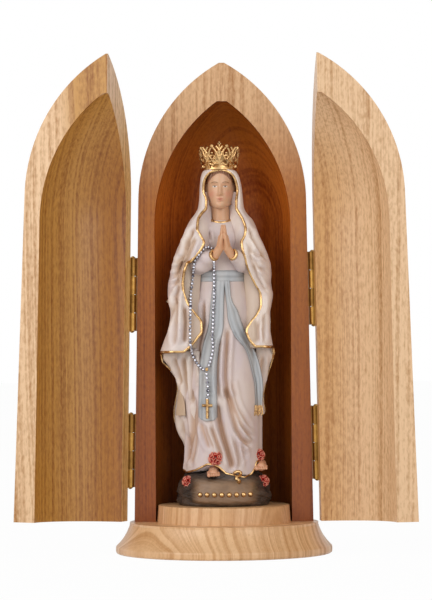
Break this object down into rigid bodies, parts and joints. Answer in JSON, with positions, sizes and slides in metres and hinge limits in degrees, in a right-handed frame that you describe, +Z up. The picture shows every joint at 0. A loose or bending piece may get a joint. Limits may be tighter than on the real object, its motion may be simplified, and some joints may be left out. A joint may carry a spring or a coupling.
{
  "type": "folding wooden niche",
  "caption": "Table-top wooden niche, turned and pointed, whose split front opens as hinged doors on a carved and painted crowned devotional figure.",
  "frame": {"origin": "centre of the round foot's underside", "axes": "+Z up through the pointed tip, -Y towards the viewer out of the open niche, +X to the viewer's right"},
  "size_m": [0.1616, 0.0886, 0.2016],
  "materials": {
    "case_wood": "stained and waxed softwood",
    "base_wood": "pale waxed turned wood",
    "door_wood": "honey-coloured waxed turned wood",
    "hinge_brass": "lightly tarnished brass",
    "rock_paint": "dark painted carved wood",
    "gown_paint": "ivory painted carved wood, washed darker in the folds",
    "mantle_paint": "ivory painted carved wood with gilt borders",
    "flesh_paint": "flesh-coloured painted carved wood",
    "sash_paint": "grey-blue painted carved wood",
    "rose_paint": "red painted carved wood",
    "gilt_metal": "gilt metal",
    "bead_silver": "silver-coloured beads"
  },
  "bodies": {
    "niche": {"niche_shell": "case_wood", "base_foot": "base_wood", "base_plinth": "base_wood", "left_lower_hinge_niche_leaf": "hinge_brass", "left_upper_hinge_niche_leaf": "hinge_brass", "right_lower_hinge_niche_leaf": "hinge_brass", "right_upper_hinge_niche_leaf": "hinge_brass", "left_lower_hinge_pin": "hinge_brass", "left_upper_hinge_pin": "hinge_brass", "right_lower_hinge_pin": "hinge_brass", "right_upper_hinge_pin": "hinge_brass", "figure_rock": "rock_paint", "figure_gown": "gown_paint", "figure_mantle": "mantle_paint", "figure_head": "flesh_paint", "figure_hands": "flesh_paint", "figure_sash": "sash_paint", "figure_feet": "flesh_paint", "rose_on_left_foot": "rose_paint", "rose_on_right_foot": "rose_paint", "rose_on_rock_left": "rose_paint", "rose_on_rock_right": "rose_paint", "crown": "gilt_metal", "rosary_loop": "bead_silver", "rosary_pendant": "bead_silver", "rosary_cross": "gilt_metal"},
    "left_door_leaf": {"left_door": "door_wood", "left_lower_hinge_door_leaf": "hinge_brass", "left_upper_hinge_door_leaf": "hinge_brass"},
    "right_door_leaf": {"right_door": "door_wood", "right_lower_hinge_door_leaf": "hinge_brass", "right_upper_hinge_door_leaf": "hinge_brass"}
  },
  "joints": [
    {"name": "left_door_hinge", "type": "hinge", "parent": "niche", "child": "left_door_leaf", "pos_m": [-0.0386, 0, 0.0127], "axis": [-0.0168, 0, -0.9999], "range_deg": [-105.9, 74.1]},
    {"name": "right_door_hinge", "type": "hinge", "parent": "niche", "child": "right_door_leaf", "pos_m": [0.0386, 0, 0.0127], "axis": [-0.0168, 0, 0.9999], "range_deg": [-93.2, 86.8]}
  ]
}
